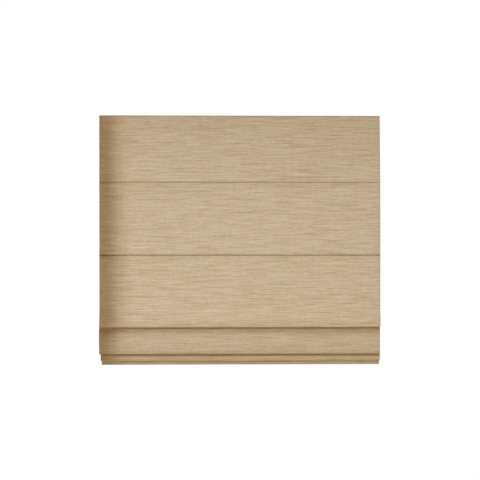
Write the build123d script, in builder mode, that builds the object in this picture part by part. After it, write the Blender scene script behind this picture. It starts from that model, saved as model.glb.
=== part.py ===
from build123d import *
import os
from math import hypot

os.makedirs("parts", exist_ok=True)

# Roman blind, part raised, all sizes in millimetres.
# X runs along the rail, the room is towards -Y and +Z is up.
# Z = 0 is the lintel the brackets are screwed up against.

# ---------------------------------------------------------------- overall
fabric_width = 1000
fabric_top = -1
hem_bottom = -888.5
row_drops = (240, 500, 752, 770, 788)

# ---------------------------------------------------------------- headrail
rail_top = -3
rail_height = 32
rail_depth = 46
rail_wall = 1.5
rail_lip = 6
rail_inset = 7.5
cap_thickness = 2.5
plug_length = 10
plug_wall = 1.6
plug_clearance = 0.2
cap_screw_y = 13
cap_screw_r = 1.35
cap_screw_clearance = 0.3

# ---------------------------------------------------------------- brackets
bracket_width = 34
bracket_wall = 1.5
lintel_hole_r = 2.25
lintel_hole_x = -11
lintel_hole_y = (-7, 9)
wall_hole_z = (-6, -15)
latch_x = 8
latch_inset = 5.5
latch_pin_r = 2
latch_clearance = 0.3

# ---------------------------------------------------------------- lift gear
shaft_flats = 6
hex_clearance = 0.15
spool_core_r = 9
spool_flange_r = 12
spool_length = 26
spool_flange = 1.5
hub_r = 5
hub_clearance = 0.3
cord_r = 0.7
coil_clearance = 0.12
coil_pitch = 1.5
coil_turns = 6
motor_length = 84
motor_wall = 2
torque_core_r = 7
torque_flange_r = 9.5
store_core_r = 5
store_flange_r = 7
drum_spacing = 17
spring_clearance = 0.3

# ---------------------------------------------------------------- cloth
face_thickness = 1.0
lining_thickness = 0.6
layer_gap = 0.2
tape_thickness = 1.5
tape_height = 20

# ---------------------------------------------------------------- rods
rod_r = 1.8
rod_clearance = 0.3
tip_wall = 0.5
pocket_wall = 0.6
pocket_slack = 0.6
pocket_flange = 0.7
pocket_inset = 12
rod_inset = 8
guide_plate = 1.2
guide_height = 10
eye_outer_r = 4
eye_bore_r = 1.7
anchor_clearance = 0.1
bar_height = 25
bar_thickness = 4
bar_inset = 12
bar_clearance = 0.2
bar_lift = 3.6
hem_gap = 0.1

# ---------------------------------------------------------------- derived
half_width = fabric_width / 2
half_rail = half_width - rail_inset
rail_bottom = rail_top - rail_height
rail_floor = rail_bottom + rail_wall
half_depth = rail_depth / 2
lip_under = rail_top - rail_wall
latch_y = half_depth - rail_wall - rail_lip - latch_inset
rail_front = -half_depth

shaft_y = -6
shaft_z = rail_floor + 14.5
coil_r = spool_core_r + cord_r + coil_clearance - 0.02
cord_y = shaft_y - coil_r
store_y = shaft_y + drum_spacing

cord_stations = (-0.38 * fabric_width, 0, 0.38 * fabric_width)
bracket_stations = (-0.43 * fabric_width, 0, 0.43 * fabric_width)
motor_start = -0.19 * fabric_width - motor_length / 2
motor_end = motor_start + motor_length

cloth_back = rail_front - 2 * tape_thickness
fold_y = cloth_back - lining_thickness
pocket_depth = 2 * (rod_r + rod_clearance + pocket_wall)
pocket_height = pocket_depth + pocket_slack
pocket_back = cloth_back + pocket_depth
rod_y = (cloth_back + pocket_back) / 2
rows = [-drop for drop in row_drops]
rod_drop = 0.4 + pocket_height / 2
anchor_top = rows[4] - rod_drop - 2
anchor_length = 8.6
anchor_r = cord_y - pocket_back - guide_plate - anchor_clearance
bar_top = hem_bottom + bar_height + bar_lift
bar_reach = bar_clearance + bar_thickness + bar_clearance
hem_reach = lining_thickness + hem_gap - layer_gap


def slab(x0, x1, y0, y1, z0, z1, mode=Mode.ADD):
    """Square-cornered block between two opposite corners."""
    with Locations(((x0 + x1) / 2, (y0 + y1) / 2, (z0 + z1) / 2)):
        Box(abs(x1 - x0), abs(y1 - y0), abs(z1 - z0), mode=mode)


def round_x(y, z, r, x0, x1, mode=Mode.ADD):
    """Round bar lying along the rail."""
    with Locations(((x0 + x1) / 2, y, z)):
        Cylinder(r, abs(x1 - x0), rotation=(0, 90, 0), mode=mode)


def round_y(x, z, r, y0, y1, mode=Mode.ADD):
    """Round bar running from room to window."""
    with Locations((x, (y0 + y1) / 2, z)):
        Cylinder(r, abs(y1 - y0), rotation=(90, 0, 0), mode=mode)


def round_z(x, y, r, z0, z1, mode=Mode.ADD):
    """Upright round bar."""
    with Locations((x, y, (z0 + z1) / 2)):
        Cylinder(r, abs(z1 - z0), mode=mode)


def hex_bore(x0, x1, y, z):
    """Six-sided hole along the rail that slides over the lift shaft."""
    with BuildPart() as bore:
        with BuildSketch(Plane.YZ.offset(x0)):
            with Locations((y, z)):
                RegularPolygon(shaft_flats / 2 + hex_clearance, 6, major_radius=False)
        extrude(amount=x1 - x0)
    return bore.part


def keep(piece, name):
    """Label a finished piece and write it out."""
    piece.label = name
    export_step(piece, f"parts/{name}.step")


# ================================================================ headrail
rail_section = [
    (-half_depth, rail_top),
    (-half_depth + rail_wall + rail_lip, rail_top),
    (-half_depth + rail_wall + rail_lip, lip_under),
    (-half_depth + rail_wall, lip_under),
    (-half_depth + rail_wall, rail_floor),
    (half_depth - rail_wall, rail_floor),
    (half_depth - rail_wall, lip_under),
    (half_depth - rail_wall - rail_lip, lip_under),
    (half_depth - rail_wall - rail_lip, rail_top),
    (half_depth, rail_top),
    (half_depth, rail_bottom),
    (-half_depth, rail_bottom),
]
cap_screw_x = half_rail - plug_length / 2

with BuildPart() as headrail:
    with BuildSketch(Plane.YZ.offset(-half_rail)):
        with BuildLine():
            Polyline(*rail_section, close=True)
        make_face()
    extrude(amount=2 * half_rail)
    for station in cord_stations:
        round_z(station, cord_y, 3, rail_bottom - 1, rail_floor + 1, Mode.SUBTRACT)
    for side in (-1, 1):
        for y in (-cap_screw_y, cap_screw_y):
            r = cap_screw_r + cap_screw_clearance
            round_z(side * cap_screw_x, y, r, rail_bottom - 1, rail_floor + 1, Mode.SUBTRACT)
keep(headrail.part, "headrail")


def end_cap(side):
    """Moulded rail end with a plug, a shaft bearing and two screw posts."""
    mouth = side * half_rail
    tip = side * (half_rail - plug_length)
    y_in = half_depth - rail_wall - plug_clearance
    z_low = rail_floor + plug_clearance
    z_high = lip_under - plug_clearance
    w = plug_wall
    with BuildPart() as cap:
        slab(mouth, mouth + side * cap_thickness, -half_depth, half_depth, rail_bottom, rail_top)
        fillet(cap.edges().filter_by(Axis.X), 1.2)
        slab(tip, mouth, -y_in, y_in, z_low, z_high)
        slab(tip, mouth, w - y_in, y_in - w, z_low + w, z_high - w, Mode.SUBTRACT)
        round_x(shaft_y, shaft_z, 6.5, tip, mouth)
        round_x(shaft_y, shaft_z, shaft_flats / 2 + 0.9, tip, mouth, Mode.SUBTRACT)
        for y in (-cap_screw_y, cap_screw_y):
            round_z(side * cap_screw_x, y, 3, z_low, z_low + 6.3)
            r = cap_screw_r + cap_screw_clearance
            round_z(side * cap_screw_x, y, r, z_low - 1, z_low + 5.3, Mode.SUBTRACT)
    return cap.part


keep(end_cap(-1), "endcap_left")
keep(end_cap(1), "endcap_right")

with BuildPart() as endcap_screws:
    for side in (-1, 1):
        for y in (-cap_screw_y, cap_screw_y):
            round_z(side * cap_screw_x, y, 2.75, rail_bottom - 1.8, rail_bottom)
            round_z(side * cap_screw_x, y, cap_screw_r, rail_bottom, rail_floor + 4.5)
            slab(side * cap_screw_x - 1.7, side * cap_screw_x + 1.7, y - 0.3, y + 0.3,
                 rail_bottom - 2, rail_bottom - 0.9, Mode.SUBTRACT)
            slab(side * cap_screw_x - 0.3, side * cap_screw_x + 0.3, y - 1.7, y + 1.7,
                 rail_bottom - 2, rail_bottom - 0.9, Mode.SUBTRACT)
keep(endcap_screws.part, "endcap_screws")


# ================================================================ brackets
def bracket(station):
    """Folded steel bracket: lintel plate, front hook and rear wall flange."""
    half = bracket_width / 2
    left = station - half
    right = station + half
    lip_tip = -half_depth + rail_wall + rail_lip
    back = half_depth + 3
    with BuildPart() as piece:
        slab(left, right, -half_depth + 3, back, -bracket_wall, 0)
        fillet(piece.edges().filter_by(Axis.Z).group_by(Axis.Y)[0], 3)
        slab(left + 4, right - 4, lip_tip + 1.5, lip_tip + 3, lip_under - bracket_wall, -1)
        slab(left + 4, right - 4, lip_tip - 4, lip_tip + 3, lip_under - bracket_wall, lip_under)
        slab(left, right, back - bracket_wall, back, -20, 0)
        fillet(piece.edges().filter_by(Axis.Y).group_by(Axis.Z)[0], 3)
        for y in lintel_hole_y:
            round_z(station + lintel_hole_x, y, lintel_hole_r, -3, 1, Mode.SUBTRACT)
        for z in wall_hole_z:
            round_y(station, z, lintel_hole_r, back - 3, back + 1, Mode.SUBTRACT)
        r = latch_pin_r + latch_clearance
        round_z(station + latch_x, latch_y, r, -3, 1, Mode.SUBTRACT)
    return piece.part


def latch(station):
    """Turning latch: finger over the top, cam under the rear lip."""
    x = station + latch_x
    cam_top = lip_under - 0.2
    cam_low = cam_top - 1.3
    with BuildPart() as piece:
        round_z(x, latch_y, latch_pin_r, -1.6, -0.3)
        round_z(x, latch_y, 5, -2.9, -1.6)
        slab(x, x + 17, latch_y - 3.5, latch_y + 3.5, -2.9, -1.6)
        round_z(x + 17, latch_y, 3.5, -2.9, -1.6)
        round_z(x, latch_y, 3.5, cam_low, -2.9)
        round_z(x, latch_y, 4.5, cam_low, cam_top)
        slab(x - 3.5, x + 3.5, latch_y, latch_y + 9, cam_low, cam_top)
    return piece.part


for station, name in zip(bracket_stations, ("left", "middle", "right")):
    keep(bracket(station), f"bracket_{name}")
    keep(latch(station), f"latch_{name}")

# ================================================================ lift gear
with BuildPart() as lift_shaft:
    with BuildSketch(Plane.YZ.offset(-half_rail + 4)):
        with Locations((shaft_y, shaft_z)):
            RegularPolygon(shaft_flats / 2, 6, major_radius=False)
    extrude(amount=2 * half_rail - 8)
keep(lift_shaft.part, "lift_shaft")


def cradle(station):
    """Spool stand: base on the rail floor, two bearing cheeks, a cord eye."""
    cheek = spool_length / 2 + spool_flange + 0.5
    base_top = rail_floor + 1.5
    with BuildPart() as piece:
        slab(station - cheek - 5, station + cheek + 5, -19, 16, rail_floor, base_top)
        for side in (-1, 1):
            near = station + side * cheek
            far = station + side * (cheek + 2)
            slab(near, far, shaft_y - 8.5, shaft_y + 8.5, rail_floor, shaft_z)
            round_x(shaft_y, shaft_z, 8.5, near, far)
            round_x(shaft_y, shaft_z, hub_r + hub_clearance, near, far, Mode.SUBTRACT)
        round_z(station, cord_y, 2.9, rail_floor, base_top + 1.5)
        round_z(station, cord_y, eye_bore_r, rail_floor - 1, base_top + 3, Mode.SUBTRACT)
    return piece.part


def spool(station):
    """Cord spool with two flanges and two bearing hubs, bored for the shaft."""
    half = spool_length / 2
    reach = half + spool_flange + 4
    with BuildPart() as piece:
        round_x(shaft_y, shaft_z, spool_core_r, station - half, station + half)
        for side in (-1, 1):
            inner = station + side * half
            outer = inner + side * spool_flange
            round_x(shaft_y, shaft_z, spool_flange_r, inner, outer)
            round_x(shaft_y, shaft_z, hub_r, outer, station + side * reach)
        bore = hex_bore(station - reach - 1, station + reach + 1, shaft_y, shaft_z)
        add(bore, mode=Mode.SUBTRACT)
    return piece.part


for station, name in zip(cord_stations, ("left", "middle", "right")):
    keep(cradle(station), f"cradle_{name}")
    keep(spool(station), f"spool_{name}")

with BuildPart() as wound_cord:
    for station in cord_stations:
        for turn in range(1, coil_turns + 1):
            with Locations((station - turn * coil_pitch, shaft_y, shaft_z)):
                Torus(coil_r, cord_r - 0.02, rotation=(0, 90, 0))
keep(wound_cord.part, "wound_cord")

# ---------------------------------------------------------------- spring motor
case_front = -half_depth + 4
case_back = half_depth - 2.5
case_top = rail_floor + 25
drum_start = motor_start + motor_wall + 0.6
drum_end = motor_end - motor_wall - 0.6

with BuildPart() as motor_case:
    slab(motor_start, motor_end, case_front, case_back, rail_floor, case_top)
    slab(motor_start + motor_wall, motor_end - motor_wall, case_front + 1.3, case_back - 1.3,
         rail_floor + 1.5, case_top + 1, Mode.SUBTRACT)
    round_x(shaft_y, shaft_z, hub_r + hub_clearance, motor_start - 1, motor_end + 1, Mode.SUBTRACT)
    round_x(store_y, shaft_z, 3 + hub_clearance, motor_start - 1, motor_end + 1, Mode.SUBTRACT)
keep(motor_case.part, "motor_case")

with BuildPart() as motor_cover:
    slab(motor_start, motor_end, case_front, case_back, case_top, case_top + 1.3)
    fillet(motor_cover.edges().filter_by(Axis.Z), 2)
keep(motor_cover.part, "motor_cover")

with BuildPart() as torque_drum:
    round_x(shaft_y, shaft_z, torque_core_r, drum_start, drum_end)
    round_x(shaft_y, shaft_z, torque_flange_r, drum_start, drum_start + 1.5)
    round_x(shaft_y, shaft_z, torque_flange_r, drum_end - 1.5, drum_end)
    round_x(shaft_y, shaft_z, hub_r, motor_start - 0.5, motor_end + 0.5)
    drum_bore = hex_bore(motor_start - 2, motor_end + 2, shaft_y, shaft_z)
    add(drum_bore, mode=Mode.SUBTRACT)
keep(torque_drum.part, "torque_drum")

with BuildPart() as spring_drum:
    round_x(store_y, shaft_z, store_core_r, drum_start, drum_end)
    round_x(store_y, shaft_z, store_flange_r, drum_start, drum_start + 1.5)
    round_x(store_y, shaft_z, store_flange_r, drum_end - 1.5, drum_end)
    round_x(store_y, shaft_z, 3, motor_start - 0.5, motor_end + 0.5)
keep(spring_drum.part, "spring_drum")

band_start = drum_start + 2
band_end = drum_end - 2
torque_roll_r = torque_core_r + spring_clearance + 1.1
store_roll_r = store_core_r + spring_clearance + 0.8
with BuildPart() as motor_spring:
    with BuildSketch(Plane.YZ.offset(band_start)):
        with Locations((shaft_y, shaft_z)):
            Circle(torque_roll_r)
        with Locations((store_y, shaft_z)):
            Circle(store_roll_r)
        with BuildLine():
            Polyline(
                (shaft_y, shaft_z + torque_roll_r),
                (store_y, shaft_z + store_roll_r),
                (store_y, shaft_z + store_roll_r - 0.4),
                (shaft_y, shaft_z + torque_roll_r - 0.4),
                close=True,
            )
        make_face()
        with Locations((shaft_y, shaft_z)):
            Circle(torque_core_r + spring_clearance, mode=Mode.SUBTRACT)
        with Locations((store_y, shaft_z)):
            Circle(store_core_r + spring_clearance, mode=Mode.SUBTRACT)
    extrude(amount=band_end - band_start)
keep(motor_spring.part, "motor_spring")

# ================================================================ cloth
tape_high = rail_top - 5
tape_low = tape_high - tape_height
tape_half = half_width - 12

with BuildPart() as hook_tape:
    slab(-tape_half, tape_half, rail_front - tape_thickness, rail_front, tape_low, tape_high)
keep(hook_tape.part, "hook_tape")

with BuildPart() as loop_tape:
    slab(-tape_half, tape_half, cloth_back, cloth_back + tape_thickness, tape_low, tape_high)
keep(loop_tape.part, "loop_tape")

# Fold path of the cloth from heading to hem: (room-side reach, height, bend radius).
# Reach is measured forward of the seam between face fabric and lining.
row_3, row_4, row_5 = rows[2], rows[3], rows[4]
loop_1_low = row_3 - 96.4
loop_2_low = row_4 - 103.4
hem_turn = hem_bottom + layer_gap + face_thickness

lining_path = [
    (0, fabric_top, 0),
    (0, row_3 + 62, 60),
    (9.5, row_3 + 14, 30),
    (9.5, row_3 - 2, 3.1),
    (3.2, row_3 - 2, 3.1),
    (3.2, row_3 + 2.8, 1.57),
    (0, row_3 + 2.8, 1.57),
    (0, row_3 - 5, 4),
    (5.4, row_3 - 17, 6),
    (9.9, row_3 - 34, 12),
    (13.5, row_3 - 60, 20),
    (13.5, loop_1_low, 1.87),
    (9.7, loop_1_low, 1.87),
    (9.7, row_4 - 42, 20),
    (8.2, row_4 - 18, 10),
    (3.2, row_4 - 4.5, 5),
    (3.2, row_4 + 2, 1.57),
    (0, row_4 + 2, 1.57),
    (0, row_4 - 5, 3),
    (5, row_4 - 17, 8),
    (6.7, row_4 - 42, 20),
    (5.9, loop_2_low, 1.42),
    (3, loop_2_low, 1.42),
    (3.2, row_5 + 2, 1.57),
    (0, row_5 + 2, 1.57),
    (0, bar_top + 2.4, 0),
]
face_path = lining_path[:-1] + [
    (0, hem_turn, 2.15),
    (-bar_reach, hem_turn, 2.15),
    (-bar_reach, bar_top + 1.4, 4),
    (-hem_reach, bar_top + 8.4, 4),
    (-hem_reach, bar_top + 16.4, 0),
]


def parallel_corners(path, shift):
    """Corners and bend radii of a line a fixed distance behind the fold path."""
    spots = [(fold_y - reach, height) for reach, height, bend in path]
    headings = []
    for (y0, z0), (y1, z1) in zip(spots, spots[1:]):
        run = hypot(y1 - y0, z1 - z0)
        headings.append(((y1 - y0) / run, (z1 - z0) / run))
    corners = []
    radii = []
    for i, (y, z) in enumerate(spots):
        into = headings[max(i - 1, 0)]
        away = headings[min(i, len(headings) - 1)]
        spread = 1 + into[0] * away[0] + into[1] * away[1]
        across_y = -(into[1] + away[1]) / spread
        across_z = (into[0] + away[0]) / spread
        corners.append((y + shift * across_y, z + shift * across_z))
        if 0 < i < len(spots) - 1:
            turn = into[0] * away[1] - into[1] * away[0]
            radii.append(path[i][2] - shift if turn > 0 else path[i][2] + shift)
    return corners, radii


def cloth(path, near, far):
    """One layer of cloth as wide as the blind, between two parallel lines."""
    near_line, near_bends = parallel_corners(path, near)
    far_line, far_bends = parallel_corners(path, far)
    with BuildPart() as piece:
        with BuildSketch(Plane.YZ.offset(-half_width)):
            with BuildLine():
                FilletPolyline(*near_line, radius=near_bends)
                FilletPolyline(*far_line, radius=far_bends)
                Line(near_line[0], far_line[0])
                Line(near_line[-1], far_line[-1])
            make_face()
        extrude(amount=fabric_width)
    return piece.part


keep(cloth(face_path, -layer_gap - face_thickness, -layer_gap), "face_fabric")
keep(cloth(lining_path, 0, lining_thickness), "lining")


# ================================================================ rod rows
def rod_pocket(row):
    """Tape pocket sewn to the lining by its upper edge, rod lying inside."""
    half = half_width - pocket_inset
    mid = row - rod_drop
    with BuildPart() as piece:
        with BuildSketch(Plane.YZ.offset(-half)):
            with Locations((rod_y, mid)):
                RectangleRounded(pocket_depth, pocket_height, 1.8)
                Circle(rod_r + rod_clearance, mode=Mode.SUBTRACT)
            with Locations((cloth_back + pocket_flange / 2, row - 0.6)):
                Rectangle(pocket_flange, 4.4)
        extrude(amount=2 * half)
    return piece.part


def rod(row):
    """Stiffening rod that holds one row level."""
    half = half_width - rod_inset
    with BuildPart() as piece:
        round_x(rod_y, row - rod_drop, rod_r, -half, half)
    return piece.part


def rod_tips(row):
    """Push-on tips that stop the rod working out of its pocket."""
    end = half_width - rod_inset
    with BuildPart() as piece:
        for side in (-1, 1):
            tip_r = rod_r + rod_clearance + tip_wall
            round_x(rod_y, row - rod_drop, tip_r, side * (end - 3), side * (end + 4))
            round_x(rod_y, row - rod_drop, rod_r + rod_clearance, side * (end - 4),
                    side * (end + 0.3), Mode.SUBTRACT)
    return piece.part


def cord_guides(row):
    """Moulded eyes behind the pocket, one for each lift cord."""
    mid = row - rod_drop
    high = guide_height / 2
    with BuildPart() as piece:
        for station in cord_stations:
            slab(station - 7, station + 7, pocket_back, pocket_back + guide_plate,
                 mid - high, mid + high)
            slab(station - 2.5, station + 2.5, pocket_back, cord_y - 2.4, mid - 2, mid + 2)
            round_z(station, cord_y, eye_outer_r, mid - 2, mid + 2)
            round_z(station, cord_y, eye_bore_r, mid - 3, mid + 3, Mode.SUBTRACT)
    return piece.part


for number, row in enumerate(rows, start=1):
    keep(rod_pocket(row), f"rod_pocket_{number}")
    keep(rod(row), f"rod_{number}")
    keep(rod_tips(row), f"rod_tips_{number}")
    keep(cord_guides(row), f"cord_guides_{number}")

# ---------------------------------------------------------------- bottom bar
half_bar = half_width - bar_inset
bar_front = fold_y + bar_clearance
with BuildPart() as bottom_bar:
    slab(-half_bar, half_bar, bar_front, bar_front + bar_thickness, bar_top - bar_height, bar_top)
    fillet(bottom_bar.edges().filter_by(Axis.X), 1)
keep(bottom_bar.part, "bottom_bar")

with BuildPart() as bottom_bar_caps:
    for side in (-1, 1):
        slab(side * half_bar, side * (half_bar + 3), bar_front, bar_front + bar_thickness,
             bar_top - bar_height, bar_top)
keep(bottom_bar_caps.part, "bottom_bar_caps")

# ---------------------------------------------------------------- lift cords
with BuildPart() as cord_anchors:
    for station in cord_stations:
        round_z(station, cord_y, anchor_r, anchor_top - anchor_length, anchor_top)
        round_z(station, cord_y, cord_r + 0.3, anchor_top - 7, anchor_top + 1, Mode.SUBTRACT)
keep(cord_anchors.part, "cord_anchors")

for station, name in zip(cord_stations, ("left", "middle", "right")):
    with BuildPart() as lift_cord:
        round_z(station, cord_y, cord_r, anchor_top - 6, shaft_z)
    keep(lift_cord.part, f"lift_cord_{name}")
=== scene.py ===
import math

import bpy
import numpy as np
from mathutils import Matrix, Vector, noise


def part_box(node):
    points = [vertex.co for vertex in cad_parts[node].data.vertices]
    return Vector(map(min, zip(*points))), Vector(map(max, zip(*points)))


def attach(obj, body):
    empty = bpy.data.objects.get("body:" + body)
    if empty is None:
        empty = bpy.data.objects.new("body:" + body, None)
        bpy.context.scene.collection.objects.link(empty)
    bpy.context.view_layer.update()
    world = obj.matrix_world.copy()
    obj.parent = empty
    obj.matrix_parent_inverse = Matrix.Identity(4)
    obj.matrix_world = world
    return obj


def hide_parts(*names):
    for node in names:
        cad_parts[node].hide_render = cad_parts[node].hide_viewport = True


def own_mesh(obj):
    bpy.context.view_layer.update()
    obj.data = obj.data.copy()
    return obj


MM = 0.001

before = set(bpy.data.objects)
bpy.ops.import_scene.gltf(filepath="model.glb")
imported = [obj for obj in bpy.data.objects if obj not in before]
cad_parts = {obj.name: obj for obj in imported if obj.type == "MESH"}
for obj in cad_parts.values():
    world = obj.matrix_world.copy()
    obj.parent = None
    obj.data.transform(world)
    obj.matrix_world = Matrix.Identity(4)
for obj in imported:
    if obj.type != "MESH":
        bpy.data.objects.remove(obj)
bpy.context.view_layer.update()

# ---------------------------------------------------------------- sizes (millimetres)
HALF_WIDTH = 500.0
FOLD_Y = -26.6

# Painted shade of the cloth round its folds, darker and warmer under the lip and under each loop: distance
# run, depth of painted shade, and how much warmer it is.
PAINTED_FOLD_SHADE = (
    (0, 1.0, 0.0), (686, 1.0, 0.01), (702, 0.97, 0.03), (742, 0.95, 0.05), (750, 0.96, 0.11),
    (757, 0.96, 0.16), (772, 0.90, 0.3), (775, 0.82, 0.35), (778, 0.68, 0.35), (783, 0.65, 0.3),
    (787, 0.67, 0.25), (792, 0.75, 0.2), (797, 0.87, 0.12), (812, 0.90, 0.05), (850, 0.90, 0.06),
    (858, 0.85, 0.15), (864, 0.83, 0.25), (870, 0.82, 0.3), (1030, 0.68, 0.3), (1036, 0.54, 0.25),
    (1041, 0.69, 0.18), (1044, 0.92, 0.14), (1048, 0.88, 0.18), (1052, 0.77, 0.22), (1056, 0.84, 0.22),
    (1062, 0.90, 0.28), (1234, 0.92, 0.3), (1239, 1.04, 0.28), (1243, 0.86, 0.2), (1247, 0.75, 0.2),
    (1251, 0.60, 0.22), (1300, 1.0, 0.0),
)
ROWS = (-240.0, -500.0, -752.0, -770.0, -788.0)
SEAMS = (-239.3, -498.9)
SEAM_DEPTHS = (0.7, 0.9)
HEADING_Z = -36.0
LIFTED_FROM_Z = -735.0
CORD_X = (-380.0, 0.0, 380.0)
CORD_Y = -15.8
CORD_TOP_Z = -19.0
SIDE_HEM = 40.0
TAPE_HALF = 488.0
STITCH_HALF = 486.0

BAR_TOP_Z = -859.5

# Distances run down the cloth from the heading: where it stops hanging flat, where the folds start to wander,
# where the last layer at the back begins, and the length the painted fold shade spans.
HANGING_TO = 740.0
FORWARD_FROM = 735.0
BACK_OF_STACK = 1100.0
SHADE_LENGTH = 1320.0


# ================================================================ finishes
class Value:
    """A shader socket that can be added, multiplied and so on."""

    def __init__(self, finish, socket):
        self.finish = finish
        self.socket = socket

    def _math(self, operation, a, b):
        return self.finish.node("ShaderNodeMath", {0: a, 1: b}, operation=operation)

    def __add__(self, other):
        return self._math("ADD", self, other)

    def __radd__(self, other):
        return self._math("ADD", other, self)

    def __sub__(self, other):
        return self._math("SUBTRACT", self, other)

    def __rsub__(self, other):
        return self._math("SUBTRACT", other, self)

    def __mul__(self, other):
        return self._math("MULTIPLY", self, other)

    def __rmul__(self, other):
        return self._math("MULTIPLY", other, self)

    def __truediv__(self, other):
        return self._math("DIVIDE", self, other)

    def __pow__(self, other):
        return self._math("POWER", self, other)

    def sin(self):
        return self.finish.node("ShaderNodeMath", {0: self}, operation="SINE")

    def clamp(self):
        return self.finish.node("ShaderNodeClamp", {"Value": self})

    def ramp(self, *stops):
        return self.finish.node("ShaderNodeValToRGB", {"Fac": self}, stops=stops)


class Finish:
    """One material: a principled surface with the nodes that feed it."""

    def __init__(self, name, **surface):
        self.material = bpy.data.materials.new(name)
        self.material.use_nodes = True
        self.tree = self.material.node_tree
        self.surface = self.tree.nodes["Principled BSDF"]
        for key, value in surface.items():
            self.set(key.replace("_", " ").title().replace("Ior", "IOR"), value)

    def node(self, kind, inputs=None, out=0, **settings):
        """Add a node: settings first, then its sockets, and hand back one output."""
        made = self.tree.nodes.new(kind)
        stops = settings.pop("stops", None)
        for key, value in settings.items():
            setattr(made, key, value)
        if stops:
            ramp = made.color_ramp
            while len(ramp.elements) < len(stops):
                ramp.elements.new(0.5)
            for element, (place, colour) in zip(ramp.elements, stops):
                element.position = place
                element.color = (*colour, 1.0)
        for key, value in (inputs or {}).items():
            self.feed(made.inputs[key], value)
        return Value(self, made.outputs[out])

    def feed(self, socket, value):
        if isinstance(value, Value):
            self.tree.links.new(value.socket, socket)
        else:
            socket.default_value = value

    def set(self, name, value):
        socket = self.surface.inputs[name]
        if not isinstance(value, (Value, int, float)) and len(value) == 3 and socket.type == "RGBA":
            value = (*value, 1.0)
        self.feed(socket, value)

    def parts(self, vector):
        """X, Y and Z of a vector."""
        first = self.node("ShaderNodeSeparateXYZ", {0: vector})
        outputs = first.socket.node.outputs
        return [Value(self, outputs[i]) for i in range(3)]

    def place(self):
        return self.parts(self.node("ShaderNodeTexCoord", out="Object"))

    def cloth_place(self):
        return self.parts(self.node("ShaderNodeUVMap", uv_map="cloth"))[:2]

    def grain(self, x, y, z, detail=2.0, roughness=0.5):
        """Noise from 0 to 1 read at a stretched place."""
        where = self.node("ShaderNodeCombineXYZ", {0: x, 1: y, 2: z})
        return self.node(
            "ShaderNodeTexNoise",
            {"Vector": where, "Scale": 1.0, "Detail": detail, "Roughness": roughness},
            noise_dimensions="3D",
        )

    def blend(self, factor, a, b):
        """Mix two colours."""
        made = self.node(
            "ShaderNodeMix",
            data_type="RGBA",
            out=2,
        )
        mixer = made.socket.node
        for index, value in ((0, factor), (6, a), (7, b)):
            if not isinstance(value, (Value, int, float)):
                value = (*value, 1.0)
            self.feed(mixer.inputs[index], value)
        return made

    def warm_shade(self, colour, value):
        """Darken a colour by a factor, its green a little more and its blue more again."""
        by_channel = self.node("ShaderNodeCombineXYZ", {0: value, 1: value ** 1.3, 2: value ** 1.65})
        return self.times(colour, by_channel)

    def times(self, a, b):
        """One colour multiplied by another."""
        return self.node("ShaderNodeVectorMath", {0: a, 1: b}, operation="MULTIPLY")

    def bump(self, height, distance, strength=1.0):
        self.set(
            "Normal",
            self.node(
                "ShaderNodeBump",
                {"Height": height, "Distance": distance, "Strength": strength},
            ),
        )


def slub_weave(name):
    """Face fabric: linen-look plain weave with thick and thin weft, and painted shade along the seams and
    round the folds.
    """
    f = Finish(name, roughness=0.93, specular_ior_level=0.22, sheen_weight=0.12, sheen_roughness=0.6)
    u, v = f.cloth_place()
    drift = f.grain(u * 3.0, v * 9.0, 2.0, 1.0)
    level = v + drift * 0.0022
    long_slub = f.grain(u * 4.0, level * 360.0, 0.3, 0.5)
    slub = f.grain(u * 10.0, level * 460.0, 7.1, 0.5)
    short_slub = f.grain(u * 70.0, level * 540.0, 9.4, 0.5)
    yarn = f.grain(u * 60.0, v * 1000.0, 3.7, 1.0)
    warp = f.grain(u * 420.0, v * 14.0, 5.5, 1.0)
    thin_pick = f.grain(u * 14.0, level * 470.0, 2.6, 0.5)
    pick_line = ((0.46 - thin_pick) * 8.0).clamp()
    pale_line = ((thin_pick - 0.58) * 8.0).clamp()
    tone = long_slub * 0.18 + slub * 0.36 + short_slub * 0.40 + yarn * 0.06
    base = tone.ramp(
        (0.32, (0.450, 0.368, 0.244)),
        (0.46, (0.520, 0.438, 0.312)),
        (0.55, (0.560, 0.480, 0.352)),
        (0.70, (0.625, 0.552, 0.425)),
    )
    # Painted shade: a dark line painted along each front seam where shade falls in the groove, deeper towards
    # the left end of the cloth.
    crease = 1.0
    left_end_painted_shade = ((-0.40 - u) * 12.0).clamp()
    for place, depth, more in ((0.2385, 0.20, 0.05), (0.4980, 0.38, 0.25)):
        off = (v - place) / 0.0021
        crease = crease - (depth + left_end_painted_shade * more) / (off * off + 1.0)
    # Painted shade round the folds: a ramp down the cloth by distance run, darker and warmer under the lip
    # and under each loop.
    folds = (v / (SHADE_LENGTH * MM)).ramp(*[
        (run / SHADE_LENGTH, (shade, shade * (1 - 0.4 * warm), shade * (1 - warm)))
        for run, shade, warm in PAINTED_FOLD_SHADE
    ])
    thread_u = (u * (2 * math.pi / 0.00085)).sin()
    thread_v = (v * (2 * math.pi / 0.00105)).sin()
    cross = thread_u * thread_v
    # Weave tone times the painted seam shade held in crease.
    shade = (0.97 + warp * 0.088 + cross * 0.026 - pick_line * 0.142 + pale_line * 0.058) * crease
    f.set("Base Color", f.times(f.warm_shade(base, shade), folds))
    f.bump(cross * 0.25 + tone * 1.6 + warp * 0.3, 0.0005, 0.55)
    return f.material


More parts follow.
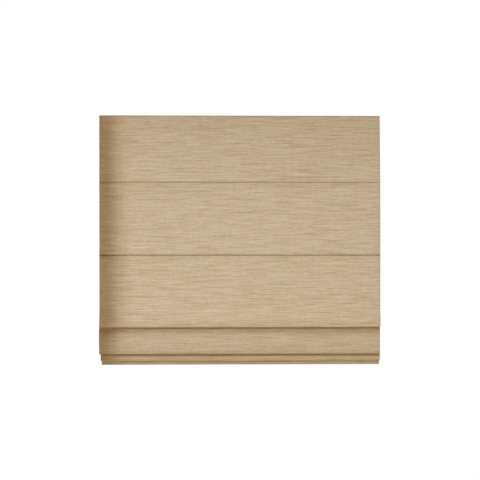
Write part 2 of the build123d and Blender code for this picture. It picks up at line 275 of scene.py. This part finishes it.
def plain_lining(name):
    """Lining: close sateen in warm cream."""
    f = Finish(name, roughness=0.86, specular_ior_level=0.28, sheen_weight=0.1, sheen_roughness=0.5)
    u, v = f.cloth_place()
    warp = f.grain(u * 900.0, v * 30.0, 1.2, 1.0)
    weft = f.grain(u * 30.0, v * 900.0, 4.2, 1.0)
    cloud = f.grain(u * 8.0, v * 8.0, 2.2, 3.0)
    tone = warp * 0.35 + weft * 0.35 + cloud * 0.3
    f.set("Base Color", tone.ramp((0.3, (0.70, 0.64, 0.53)), (0.7, (0.86, 0.81, 0.71))))
    twill = ((u + v) * (2 * math.pi / 0.0009)).sin()
    f.bump(twill * 0.3 + tone, 0.0003, 0.5)
    return f.material


def woven_tape(name):
    """Pocket and fastening tape: narrow herringbone in off-white."""
    f = Finish(name, roughness=0.9, specular_ior_level=0.25)
    x, y, z = f.place()
    slant = ((x + z) * (2 * math.pi / 0.0016)).sin()
    counter = ((x - z) * (2 * math.pi / 0.0016)).sin()
    fleck = f.grain(x * 700.0, y * 700.0, z * 700.0, 1.0)
    rib = slant * counter
    tone = 0.5 + rib * 0.12 + (fleck - 0.5) * 0.5
    f.set("Base Color", tone.ramp((0.2, (0.62, 0.57, 0.47)), (0.8, (0.85, 0.81, 0.72))))
    f.bump(rib + fleck, 0.0002, 0.6)
    return f.material


def hook_pile(name):
    """Hook-and-loop tape seen edge on: dense short pile."""
    f = Finish(name, roughness=0.95, specular_ior_level=0.2)
    x, y, z = f.place()
    pile = f.grain(x * 1500.0, y * 1500.0, z * 1500.0, 2.0)
    f.set("Base Color", pile.ramp((0.3, (0.55, 0.52, 0.46)), (0.7, (0.82, 0.79, 0.73))))
    f.bump(pile, 0.0004, 0.8)
    return f.material


def sewing_thread(name, dark, light):
    """Spun polyester thread with a visible twist."""
    f = Finish(name, roughness=0.6, specular_ior_level=0.4)
    x, y, z = f.place()
    twist = ((x + y + z) * (2 * math.pi / 0.0005)).sin() * 0.5 + 0.5
    f.set("Base Color", f.blend(twist, dark, light))
    f.bump(twist, 0.0001, 0.4)
    return f.material


def braided_cord(name):
    """Lift cord: fine braided polyester."""
    f = Finish(name, roughness=0.7, specular_ior_level=0.35)
    x, y, z = f.place()
    left = ((z + x * 1.7 + y * 1.7) * (2 * math.pi / 0.0011)).sin()
    right = ((z - x * 1.7 - y * 1.7) * (2 * math.pi / 0.0011)).sin()
    strand = left * right * 0.5 + 0.5
    f.set("Base Color", f.blend(strand, (0.60, 0.57, 0.50), (0.86, 0.84, 0.79)))
    f.bump(strand, 0.00015, 0.7)
    return f.material


def moulded(name, colour, roughness=0.42, speck=0.03, coat=0.0):
    """Injection-moulded plastic with a fine mould texture."""
    f = Finish(name, specular_ior_level=0.45, coat_weight=coat)
    x, y, z = f.place()
    texture = f.grain(x * 2200.0, y * 2200.0, z * 2200.0, 2.0)
    cloud = f.grain(x * 60.0, y * 60.0, z * 60.0, 2.0)
    dim = tuple(c * (1 - 2 * speck) for c in colour)
    f.set("Base Color", f.blend(cloud, dim, colour))
    f.set("Roughness", roughness - 0.06 + cloud * 0.12)
    f.bump(texture, 0.00006, 0.5)
    return f.material


def extruded_aluminium(name):
    """Satin anodised rail with faint die lines along its length."""
    f = Finish(name, metallic=1.0, coat_weight=0.05)
    x, y, z = f.place()
    die = f.grain(x * 2.0, y * 1400.0, z * 1400.0, 2.0)
    cloud = f.grain(x * 25.0, y * 25.0, z * 25.0, 2.0)
    f.set("Base Color", die.ramp((0.3, (0.70, 0.70, 0.69)), (0.7, (0.80, 0.80, 0.79))))
    f.set("Roughness", 0.30 + die * 0.12 + cloud * 0.08)
    f.bump(die, 0.00005, 0.5)
    return f.material


def plated_steel(name, colour, roughness, spangle=160.0):
    """Pressed steel with a soft crystalline plating."""
    f = Finish(name, metallic=1.0)
    x, y, z = f.place()
    where = f.node("ShaderNodeCombineXYZ", {0: x, 1: y, 2: z})
    crystal = f.parts(
        f.node("ShaderNodeTexVoronoi", {"Vector": where, "Scale": spangle}, out="Color")
    )[0]
    scuff = f.grain(x * 40.0, y * 400.0, z * 400.0, 2.0)
    dim = tuple(c * 0.86 for c in colour)
    f.set("Base Color", f.blend(crystal, dim, colour))
    f.set("Roughness", roughness + crystal * 0.10 + scuff * 0.08)
    f.bump(scuff, 0.00004, 0.5)
    return f.material


def drawn_steel(name, colour, roughness):
    """Bright drawn steel, lines running along the rail."""
    f = Finish(name, metallic=1.0)
    x, y, z = f.place()
    draw = f.grain(x * 8.0, y * 1800.0, z * 1800.0, 2.0)
    dim = tuple(c * 0.88 for c in colour)
    f.set("Base Color", f.blend(draw, dim, colour))
    f.set("Roughness", roughness + draw * 0.12)
    f.bump(draw, 0.00003, 0.5)
    return f.material


def glass_fibre(name):
    """Pultruded rod: pale resin with fine fibres running along it."""
    f = Finish(name, roughness=0.38, specular_ior_level=0.5)
    x, y, z = f.place()
    fibre = f.grain(x * 12.0, y * 2600.0, z * 2600.0, 2.0)
    f.set("Base Color", fibre.ramp((0.3, (0.66, 0.64, 0.56)), (0.7, (0.84, 0.83, 0.76))))
    f.bump(fibre, 0.00005, 0.5)
    return f.material


FACE = slub_weave("slub_weave_sand")
LINING = plain_lining("cream_lining")
TAPE = woven_tape("herringbone_tape")
PILE = hook_pile("fastening_tape_pile")
FACE_THREAD = sewing_thread("sand_thread", (0.40, 0.30, 0.19), (0.55, 0.43, 0.29))
BACK_THREAD = sewing_thread("cream_thread", (0.62, 0.57, 0.47), (0.80, 0.75, 0.65))
CORD = braided_cord("braided_lift_cord")
WHITE_PLASTIC = moulded("white_moulding", (0.80, 0.79, 0.75))
GREY_PLASTIC = moulded("grey_moulding", (0.36, 0.36, 0.35), 0.48)
FROSTED_PLASTIC = moulded("frosted_guide", (0.70, 0.71, 0.70), 0.34, 0.05, 0.1)
ALUMINIUM = extruded_aluminium("satin_aluminium")
ZINC = plated_steel("zinc_plated_steel", (0.66, 0.67, 0.69), 0.30)
BRIGHT_STEEL = drawn_steel("bright_steel", (0.74, 0.74, 0.75), 0.18)
SPRING_STEEL = drawn_steel("blued_spring_steel", (0.42, 0.44, 0.48), 0.22)
FIBRE = glass_fibre("glass_fibre_rod")

node_finish = {
    "headrail": ALUMINIUM,
    "bottom_bar": ALUMINIUM,
    "endcap_": WHITE_PLASTIC,
    "endcap_screws": BRIGHT_STEEL,
    "bottom_bar_caps": WHITE_PLASTIC,
    "bracket_": ZINC,
    "latch_": GREY_PLASTIC,
    "cradle_": WHITE_PLASTIC,
    "spool_": GREY_PLASTIC,
    "lift_shaft": BRIGHT_STEEL,
    "wound_cord": CORD,
    "motor_case": GREY_PLASTIC,
    "motor_cover": GREY_PLASTIC,
    "torque_drum": WHITE_PLASTIC,
    "spring_drum": WHITE_PLASTIC,
    "motor_spring": SPRING_STEEL,
    "rod_": FIBRE,
    "rod_tips_": WHITE_PLASTIC,
    "cord_guides_": FROSTED_PLASTIC,
    "cord_anchors": WHITE_PLASTIC,
}
for name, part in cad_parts.items():
    fits = [key for key in node_finish if name.startswith(key)]
    if fits:
        part.data.materials.clear()
        part.data.materials.append(node_finish[max(fits, key=len)])


# ================================================================ cloth
# Fold path from heading to hem: reach forward of the seam plane, height, bend radius.
LINING_PATH = [
    (0, -1, 0), (0, -690, 60), (9.5, -738, 30), (9.5, -754.0, 3.1), (3.2, -754.0, 3.1),
    (3.2, -749.2, 1.57), (0, -749.2, 1.57), (0, -757, 4), (5.4, -769, 6), (9.9, -786, 12),
    (13.5, -812, 20), (13.5, -848.4, 1.87), (9.7, -848.4, 1.87), (9.7, -812, 20), (8.2, -788, 10),
    (3.2, -774.5, 5), (3.2, -768, 1.57), (0, -768, 1.57), (0, -775, 3), (5, -787, 8),
    (6.7, -812, 20), (5.9, -873.4, 1.42), (3, -873.4, 1.42), (3.2, -786, 1.57), (0, -786, 1.57),
    (0, -857.5, 0),
]
FACE_PATH = LINING_PATH[:-1] + [
    (0, -887.3, 2.15), (-4.4, -887.3, 2.15), (-4.4, -858.5, 4), (-0.5, -851.5, 4), (-0.5, -843.5, 0),
]


def rounded_line(path, step=0.25):
    """Points along straight runs joined by true arcs, about one step apart."""
    spots = [np.array((FOLD_Y - reach, height)) for reach, height, bend in path]
    line = [spots[0]]
    for i in range(1, len(spots) - 1):
        into = spots[i] - spots[i - 1]
        away = spots[i + 1] - spots[i]
        into = into / np.linalg.norm(into)
        away = away / np.linalg.norm(away)
        angle = math.acos(max(-1.0, min(1.0, float(into @ away))))
        back = path[i][2] * math.tan(angle / 2)
        line.append(spots[i] - into * back)
        swing = 1.0 if into[0] * away[1] - into[1] * away[0] > 0 else -1.0
        centre = line[-1] + swing * path[i][2] * np.array((-into[1], into[0]))
        arm = line[-1] - centre
        pieces = max(2, int(angle * path[i][2] / step))
        for k in range(1, pieces + 1):
            t = swing * angle * k / pieces
            c, s = math.cos(t), math.sin(t)
            line.append(centre + np.array((c * arm[0] - s * arm[1], s * arm[0] + c * arm[1])))
    line.append(spots[-1])
    line = np.array(line)
    run = np.concatenate(([0.0], np.cumsum(np.linalg.norm(np.diff(line, axis=0), axis=1))))
    even = np.arange(0.0, run[-1], step)
    return np.column_stack((np.interp(even, run, line[:, 0]), np.interp(even, run, line[:, 1]))), even


def cloth_rows(path):
    """Rows of the cloth from top to bottom: place, outward direction and distance run."""
    line, run = rounded_line(path)
    ease = np.ones(7) / 7
    soft = line.copy()
    for axis in (0, 1):
        soft[3:-3, axis] = np.convolve(line[:, axis], ease, mode="valid")
    heading = np.gradient(soft, run, axis=0)
    heading /= np.linalg.norm(heading, axis=1)[:, None]
    behind = np.column_stack((-heading[:, 1], heading[:, 0]))
    turn = np.abs(np.gradient(np.unwrap(np.arctan2(heading[:, 1], heading[:, 0])), run))
    to_seam = np.min([np.abs(soft[:, 1] - row) for row in SEAMS], axis=0)
    pitch = 9.0 / (1 + 60.0 * turn)
    pitch = np.clip(pitch, 0.55, 9.0)
    pitch = np.minimum(pitch, 0.7 + to_seam * 0.16)
    count = np.concatenate(([0.0], np.cumsum(np.diff(run) / pitch[1:])))
    return soft, behind, run, count


def pick_rows(data, first, last):
    """Rows between two distances run, closer together where the cloth bends."""
    soft, behind, run, count = data
    start, end = np.interp((first, last), run, count)
    wanted = np.linspace(start, end, max(2, int(round(end - start))) + 1)
    at = np.interp(wanted, count, run)
    at[0], at[-1] = first, last
    rows = np.column_stack([
        np.interp(at, run, column)
        for column in (soft[:, 0], soft[:, 1], behind[:, 0], behind[:, 1])
    ])
    return rows, at


def wander(x, z, seed, x_size, z_size):
    """Smooth random number from about -1 to 1."""
    return noise.noise(Vector((x / x_size, z / z_size, seed)))


def drape(x, y, z, run):
    """How far hanging cloth strays from its drawn path."""
    dy = 0.0
    dz = 0.0
    if run < HANGING_TO:
        tops = (HEADING_Z, ROWS[0], ROWS[1], -757.0)
        for top, low in zip(tops, tops[1:]):
            if low <= z <= top:
                t = (top - z) / (top - low)
                swell = 1.1 + 0.6 * wander(x, z, 3.1, 310.0, 170.0)
                dy -= swell * math.sin(math.pi * t) ** 0.7
                edge = max(0.0, abs(x) - 430.0) / 70.0
                dy += 0.5 * edge * math.sin(math.pi * t)
        near = min(abs(z - row) for row in SEAMS)
        dy -= 1.5 * (near / 5.5) * math.exp(1 - near / 5.5)
        dy += 0.35 * wander(x, z, 8.4, 17.0, 30.0) * math.exp(-near / 11.0)
        dy += 0.25 * wander(x, z, 5.5, 70.0, 60.0) * min(1.0, near / 20.0)
    forward = max(0.0, min(1.0, (FOLD_Y - y) / 7.0))
    if run >= FORWARD_FROM:
        dy += forward * (1.5 * wander(x, z, 1.7, 240.0, 90.0) + 0.4 * wander(x, z, 9.2, 60.0, 40.0))
        dz += forward * 0.7 * wander(x, 0.0, 6.3, 330.0, 50.0)
    return dy, dz


LEAN_RUN = (730, 790, 880, 980, 1100)
LEAN = (0.0, -1.8, -1.8, 0.6, 1.6)


def spread(x, z, run, total):
    """Side edges: nearly straight, drawn in a little towards the hem."""
    side = abs(x) / HALF_WIDTH
    level = -z
    wide = -1.6 + 3.2 * math.sin(math.pi * min(1.0, level / 480.0) / 2) if x > 0 else -0.6
    if run > 780:
        wide -= 2.0 * min(1.0, (run - 780) / 80.0)
    if run > 960:
        draw = min(1.0, (run - 960) / (total - 960 - 60))
        wide -= 4.5 * draw
    wide += 0.25 * wander(1000.0 * side, z, 4.4 if x > 0 else 2.9, 900.0, 60.0)
    lean = float(np.interp(run, LEAN_RUN, LEAN))
    return x + lean + math.copysign(1.0, x) * wide * side ** 8


def cloth_piece(name, data, section, first, last, finish, seam_depth=0.0):
    """Closed sheet: a cross-section loop of (across, depth, weave place) carried down the rows."""
    rows, at = pick_rows(data, first, last)
    total = data[2][-1]
    places = []
    weave = []
    for (y, z, ny, nz), run in zip(rows, at):
        low = z < BAR_TOP_Z and run > BACK_OF_STACK
        for x, depth, place in section:
            dy, dz = drape(x, y, z, run)
            if seam_depth and depth < -1.0 and run < HANGING_TO:
                for row, deep in zip(SEAMS, SEAM_DEPTHS):
                    depth += seam_depth * deep * math.exp(-((z - row) / 2.0) ** 2)
            if low and depth > 0:
                depth = 0.1
            places.append((
                spread(x, z, run, total) * MM,
                (y + ny * depth + dy) * MM,
                (z + nz * depth + dz) * MM,
            ))
            weave.append((place * MM, run * MM))
    wide = len(section)
    faces = []
    for r in range(len(rows) - 1):
        for c in range(wide):
            d = (c + 1) % wide
            faces.append((r * wide + c, r * wide + d, (r + 1) * wide + d, (r + 1) * wide + c))
    faces.append(tuple(range(wide))[::-1])
    faces.append(tuple(range((len(rows) - 1) * wide, len(rows) * wide)))
    return solid(name, places, faces, finish, weave)


def solid(name, places, faces, finish, weave=None, crease=50.0):
    """A mesh object at the origin, faces outwards, with its finish and cloth map."""
    mesh = bpy.data.meshes.new(name)
    mesh.from_pydata(places, [], faces)
    if weave is not None:
        layer = mesh.uv_layers.new(name="cloth")
        corner = np.zeros(len(mesh.loops), np.int32)
        mesh.loops.foreach_get("vertex_index", corner)
        layer.data.foreach_set("uv", np.array(weave, np.float32)[corner].ravel())
    mesh.materials.append(finish)
    mesh.polygons.foreach_set("use_smooth", np.ones(len(mesh.polygons), bool))
    mesh.update()
    mesh.set_sharp_from_angle(angle=math.radians(crease))
    piece = bpy.data.objects.new(name, mesh)
    bpy.context.scene.collection.objects.link(piece)
    return piece


def across(start, end, step):
    """Evenly spaced places from one side to the other."""
    return np.linspace(start, end, max(2, int(round(abs(end - start) / step))) + 1)


def face_section():
    """Front of the cloth, then round each side into a narrow hem at the back."""
    inner = HALF_WIDTH - SIDE_HEM
    loop = [(x, -1.2, x) for x in across(-HALF_WIDTH, HALF_WIDTH, 8.0)]
    loop += [(500.5, -0.9, 500.5), (500.7, -0.3, 501.0), (500.5, 0.3, 501.5)]
    loop += [(x, 0.58, 1002.0 - x) for x in across(HALF_WIDTH, inner, 8.0)]
    loop += [(inner - 0.3, 0.2, 542.0)]
    loop += [(x, -0.2, x) for x in across(inner, -inner, 24.0)]
    loop += [(0.3 - inner, 0.2, -542.0)]
    loop += [(x, 0.58, -1002.0 - x) for x in across(-inner, -HALF_WIDTH, 8.0)]
    loop += [(-500.5, 0.3, -501.5), (-500.7, -0.3, -501.0), (-500.5, -0.9, -500.5)]
    return loop


def lining_section():
    """Lining, running just under the side hems."""
    half = HALF_WIDTH - SIDE_HEM + 3
    loop = [(x, 0.05, x) for x in across(-half, half, 24.0)]
    loop += [(x, 0.5, x) for x in across(half, -half, 8.0)]
    return loop


def run_at(data, z):
    """Distance run where the cloth first passes a height."""
    soft, behind, run, count = data
    return float(run[np.argmax(soft[:, 1] <= z)])


face_data = cloth_rows(FACE_PATH)
lining_data = cloth_rows(LINING_PATH)
sheets = []
for label, data, section, finish, depth in (
    ("face", face_data, face_section(), FACE, 1.0),
    ("lining", lining_data, lining_section(), LINING, 0.0),
):
    marks = (0.0, run_at(data, HEADING_Z), run_at(data, LIFTED_FROM_Z), float(data[2][-1]))
    trio = []
    for part, first, last in zip(("heading", "panels", "folds"), marks, marks[1:]):
        piece = cloth_piece(f"{label}_{part}", data, section, first, last, finish, depth)
        trio.append((piece, last - first))
    sheets.append(trio)


# ================================================================ pocket tapes
def swept_bar(name, outline, half, finish, sway=0.0, step=12.0):
    """A soft outline carried from end to end, waving very slightly."""
    places = []
    faces = []
    stations = across(-half, half, step)
    for x in stations:
        for y, z in outline:
            lift = sway * wander(x, z, 2.7, 90.0, 40.0)
            places.append((x * MM, y * MM, (z + lift) * MM))
    wide = len(outline)
    for r in range(len(stations) - 1):
        for c in range(wide):
            d = (c + 1) % wide
            faces.append((r * wide + c, (r + 1) * wide + c, (r + 1) * wide + d, r * wide + d))
    faces.append(tuple(range(wide)))
    faces.append(tuple(range((len(stations) - 1) * wide, len(stations) * wide))[::-1])
    return solid(name, places, faces, finish)


def pocket_outline(row):
    """Tape pocket: a sewn tongue above and a soft tube round the rod below."""
    front = -26.0
    back = -20.6
    mid = row - 3.4
    outline = [(front, row + 1.6), (front + 0.7, row + 1.6), (front + 0.8, row - 0.1)]
    for k in range(13):
        turn = math.radians(80 - 13.5 * k)
        outline.append((front + 2.7 + 2.7 * max(0.0, math.cos(turn)), mid + 3.0 * math.sin(turn)))
    outline.append((front + 0.6, mid - 3.0))
    outline.append((front, mid - 2.4))
    return [(min(y, back), z) for y, z in outline]


for number, row in enumerate(ROWS, start=1):
    piece = swept_bar(f"pocket_tape_{number}", pocket_outline(row), TAPE_HALF, TAPE, 0.06)
    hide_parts(f"rod_pocket_{number}")
    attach(piece, {1: "rod_row_1", 2: "rod_row_2"}.get(number, "stack"))

for label, y0, y1 in (("hook_tape", -24.5, -23.0), ("loop_tape", -26.0, -24.5)):
    outline = [
        (y0, -27.6), (y0, -8.4), (y0 + 0.4, -8.0), (y1 - 0.4, -8.0),
        (y1, -8.4), (y1, -27.6), (y1 - 0.4, -28.0), (y0 + 0.4, -28.0),
    ]
    piece = swept_bar(f"{label}_strip", outline[::-1], TAPE_HALF, PILE)
    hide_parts(label)
    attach(piece, "headrail")


# ================================================================ lift cords
def straight_cord(name, x, top, low, radius):
    """Upright cord: a tube of many evenly spaced rings."""
    places = []
    faces = []
    levels = np.linspace(top, low, 60)
    sides = 12
    for z in levels:
        for k in range(sides):
            a = 2 * math.pi * k / sides
            places.append(((x + radius * math.cos(a)) * MM, (CORD_Y + radius * math.sin(a)) * MM, z * MM))
    for r in range(len(levels) - 1):
        for k in range(sides):
            d = (k + 1) % sides
            faces.append((r * sides + k, (r + 1) * sides + k, (r + 1) * sides + d, r * sides + d))
    faces.append(tuple(range(sides)))
    faces.append(tuple(range((len(levels) - 1) * sides, len(levels) * sides))[::-1])
    return solid(name, places, faces, CORD)


cord_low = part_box("lift_cord_middle")[0].z / MM
for x, side in zip(CORD_X, ("left", "middle", "right")):
    piece = straight_cord(f"cord_{side}", x, CORD_TOP_Z, cord_low, 0.7)
    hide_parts(f"lift_cord_{side}")
    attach(piece, "headrail")
    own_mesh(piece)


# ================================================================ stitching
def stitch_tree():
    """Geometry nodes: short thread loops set end to end along the drawn lines."""
    tree = bpy.data.node_groups.new("running_stitch", "GeometryNodeTree")
    tree.interface.new_socket("Geometry", in_out="OUTPUT", socket_type="NodeSocketGeometry")
    tree.interface.new_socket("Geometry", in_out="INPUT", socket_type="NodeSocketGeometry")
    for label in ("Pitch", "Stitch", "Thread"):
        tree.interface.new_socket(label, in_out="INPUT", socket_type="NodeSocketFloat")
    tree.interface.new_socket("Seed", in_out="INPUT", socket_type="NodeSocketInt")
    tree.interface.new_socket("Finish", in_out="INPUT", socket_type="NodeSocketMaterial")

    def add(kind, inputs=None, **settings):
        made = tree.nodes.new(kind)
        for key, value in settings.items():
            setattr(made, key, value)
        for key, value in (inputs or {}).items():
            if isinstance(value, bpy.types.NodeSocket):
                tree.links.new(value, made.inputs[key])
            else:
                made.inputs[key].default_value = value
        return made

    given = add("NodeGroupInput").outputs
    curve = add("GeometryNodeMeshToCurve", {0: given["Geometry"]})
    points = add("GeometryNodeCurveToPoints", {0: curve.outputs[0], "Length": given["Pitch"]}, mode="LENGTH")
    bead = add("GeometryNodeMeshUVSphere", {"Segments": 6, "Rings": 4, "Radius": 1.0})
    vary = add("FunctionNodeRandomValue", {2: 0.88, 3: 1.08, "Seed": given["Seed"]}, data_type="FLOAT")
    half = add("ShaderNodeMath", {0: given["Stitch"], 1: vary.outputs[1]}, operation="MULTIPLY")
    size = add("ShaderNodeCombineXYZ", {0: given["Thread"], 1: given["Thread"], 2: half.outputs[0]})
    placed = add("GeometryNodeInstanceOnPoints", {
        "Points": points.outputs["Points"], "Instance": bead.outputs["Mesh"],
        "Rotation": points.outputs["Rotation"], "Scale": size.outputs[0],
    })
    whole = add("GeometryNodeRealizeInstances", {0: placed.outputs[0]})
    coloured = add("GeometryNodeSetMaterial", {0: whole.outputs[0], "Material": given["Finish"]})
    smooth = add("GeometryNodeSetShadeSmooth", {0: coloured.outputs[0]})
    add("NodeGroupOutput", {0: smooth.outputs[0]})
    return tree


STITCHES = stitch_tree()


def stitch_lines(name, lines, finish, pitch=3.4, stitch=1.45, thread=0.26, seed=1):
    """Bake stitches along polylines (millimetres) into one plain mesh."""
    places = []
    edges = []
    for line in lines:
        start = len(places)
        places += [tuple(c * MM for c in point) for point in line]
        edges += [(start + k, start + k + 1) for k in range(len(line) - 1)]
    guide = bpy.data.meshes.new(name + "_guide")
    guide.from_pydata(places, edges, [])
    carrier = bpy.data.objects.new(name + "_guide", guide)
    bpy.context.scene.collection.objects.link(carrier)
    maker = carrier.modifiers.new("stitches", "NODES")
    maker.node_group = STITCHES
    values = {
        "Pitch": pitch * MM, "Stitch": stitch * MM, "Thread": thread * MM, "Seed": seed, "Finish": finish,
    }
    for item in STITCHES.interface.items_tree:
        if item.in_out == "INPUT" and item.name in values:
            maker[item.identifier] = values[item.name]
    evaluated = carrier.evaluated_get(bpy.context.evaluated_depsgraph_get())
    mesh = bpy.data.meshes.new_from_object(evaluated)
    bpy.data.objects.remove(carrier)
    piece = bpy.data.objects.new(name, mesh)
    bpy.context.scene.collection.objects.link(piece)
    return piece


def on_front(x, z, depth):
    """Point on the front of the hanging cloth above the folds."""
    dy, dz = drape(x, FOLD_Y, z, -z)
    return (x, FOLD_Y + depth + dy, z + dz)


for number in (1, 2):
    row = SEAMS[number - 1]
    deep = -1.2 + SEAM_DEPTHS[number - 1] + 0.05
    line = [on_front(x, row, deep) for x in across(-TAPE_HALF, TAPE_HALF, 8.0)]
    piece = stitch_lines(f"front_seam_{number}", [line], FACE_THREAD, seed=number)
    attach(piece, "headrail")
    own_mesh(piece)

for body, numbers in (("rod_row_1", (1,)), ("rod_row_2", (2,)), ("stack", (3, 4, 5))):
    places = across(-STITCH_HALF, STITCH_HALF, 12.0)
    lines = [[(x, -25.25, ROWS[n - 1] + 0.7) for x in places] for n in numbers]
    piece = stitch_lines(f"pocket_stitches_{numbers[0]}", lines, BACK_THREAD, 3.0, 1.3, 0.24, 10 + numbers[0])
    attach(piece, body)

hem_line = [(x, -24.85, -847.0) for x in across(-STITCH_HALF, STITCH_HALF, 12.0)]
hem_stitches = stitch_lines("hem_stitches", [hem_line], FACE_THREAD, seed=21)
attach(hem_stitches, "stack")


def on_back(x, z, depth=0.62):
    """Point on the back of the hanging cloth above the folds."""
    dy, dz = drape(x, FOLD_Y, z, -z)
    return (x, FOLD_Y + depth + dy, z + dz)


side_lines = [[on_back(x, z) for z in across(-38, -700, 10.0)] for x in (-463.0, 463.0)]
side_stitches = stitch_lines("side_hem_stitches", side_lines, FACE_THREAD, 4.2, 1.6, 0.24, 31)
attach(side_stitches, "headrail")
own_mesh(side_stitches)

# ---------------------------------------------------------------- how the cloth rides
for trio, node, slot_name in zip(sheets, ("face_fabric", "lining"), ("face_fabric", "lining")):
    for (piece, length), body in zip(trio, ("headrail", "headrail", "stack")):
        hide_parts(node)
        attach(piece, body)
        wide = 1.0 if node == "face_fabric" else 0.926
        length * MM
    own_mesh(trio[1][0])


# ================================================================ stage, light and camera
def stage_plane(name, corners, colour):
    """A plain sheet that shapes the light and is hidden from the camera."""
    mesh = bpy.data.meshes.new(name)
    mesh.from_pydata(corners, [], [tuple(range(len(corners)))])
    plain = Finish(name + "_paint", base_color=colour, roughness=0.9)
    mesh.materials.append(plain.material)
    card = bpy.data.objects.new(name, mesh)
    bpy.context.scene.collection.objects.link(card)
    card.visible_camera = False
    return card


turns = np.linspace(0, 2 * math.pi, 64, endpoint=False)
ring = [(1.6 * math.cos(a), 1.6 * math.sin(a) - 0.2, -1.75) for a in turns]
stage_plane("studio_floor", ring, (0.86, 0.86, 0.85))
stage_plane(
    "left_reveal",
    [(-0.509, -0.128, 0.3), (-0.509, -0.03, 0.3), (-0.509, -0.03, -1.3), (-0.509, -0.128, -1.3)],
    (0.62, 0.42, 0.24),
)
stage_plane(
    "lintel_card",
    [(-0.6, -0.037, 0.004), (0.62, -0.037, 0.004), (0.62, -0.027, 0.004), (-0.6, -0.027, 0.004)],
    (0.80, 0.70, 0.56),
)
stage_plane(
    "soft_flag",
    [(-1.9, -0.65, 0.64), (0.7, -0.65, 0.64), (0.7, -0.65, 2.2), (-1.9, -0.65, 2.2)],
    (0.80, 0.80, 0.80),
)


def soft_light(name, place, aim, size, power, colour=(1, 1, 1)):
    """Round softbox turned to face a point."""
    data = bpy.data.lights.new(name, "AREA")
    data.shape = "DISK"
    data.size = size
    data.energy = power
    data.color = colour
    lamp = bpy.data.objects.new(name, data)
    lamp.location = place
    lamp.rotation_mode = "QUATERNION"
    lamp.rotation_quaternion = (Vector(aim) - Vector(place)).to_track_quat("-Z", "Y")
    bpy.context.scene.collection.objects.link(lamp)
    return lamp


soft_light("key_softbox", (-3.3, -3.68, 3.68), (0, 0, -0.45), 2.85, 348, (0.94, 1.0, 1.08))
soft_light("overhead_softbox", (-0.1, -1.9, 2.5), (0, 0, -0.45), 1.6, 8, (1.0, 0.98, 0.94))
soft_light("front_fill", (0.6, -4.8, -0.6), (0, 0, -0.45), 3.0, 61, (1.0, 0.62, 0.22))
soft_light("back_softbox", (1.8, 2.4, 1.4), (0, 0, -0.45), 2.0, 100)

world = bpy.data.worlds.new("studio")
world.use_nodes = True
nodes = world.node_tree.nodes
links = world.node_tree.links
seen = nodes["Background"]
seen.inputs["Color"].default_value = (1, 1, 1, 1)
seen.inputs["Strength"].default_value = 1.0
given = nodes.new("ShaderNodeBackground")
given.inputs["Color"].default_value = (1.0, 0.95, 0.88, 1)
given.inputs["Strength"].default_value = 0.26
path = nodes.new("ShaderNodeLightPath")
choose = nodes.new("ShaderNodeMixShader")
links.new(path.outputs["Is Camera Ray"], choose.inputs[0])
links.new(given.outputs[0], choose.inputs[1])
links.new(seen.outputs[0], choose.inputs[2])
links.new(choose.outputs[0], nodes["World Output"].inputs["Surface"])
bpy.context.scene.world = world
bpy.context.scene.view_settings.view_transform = "Standard"

camera_data = bpy.data.cameras.new("camera")
camera_data.lens = 84.2
camera_data.sensor_width = 36.0
camera_data.clip_end = 50.0
camera = bpy.data.objects.new("camera", camera_data)
camera.location = (-0.098, -4.03, -0.405)
camera.rotation_mode = "QUATERNION"
camera.rotation_quaternion = (Vector((0.0, -0.028, -0.4439)) - camera.location).to_track_quat("-Z", "Y")
bpy.context.scene.collection.objects.link(camera)
bpy.context.scene.camera = camera
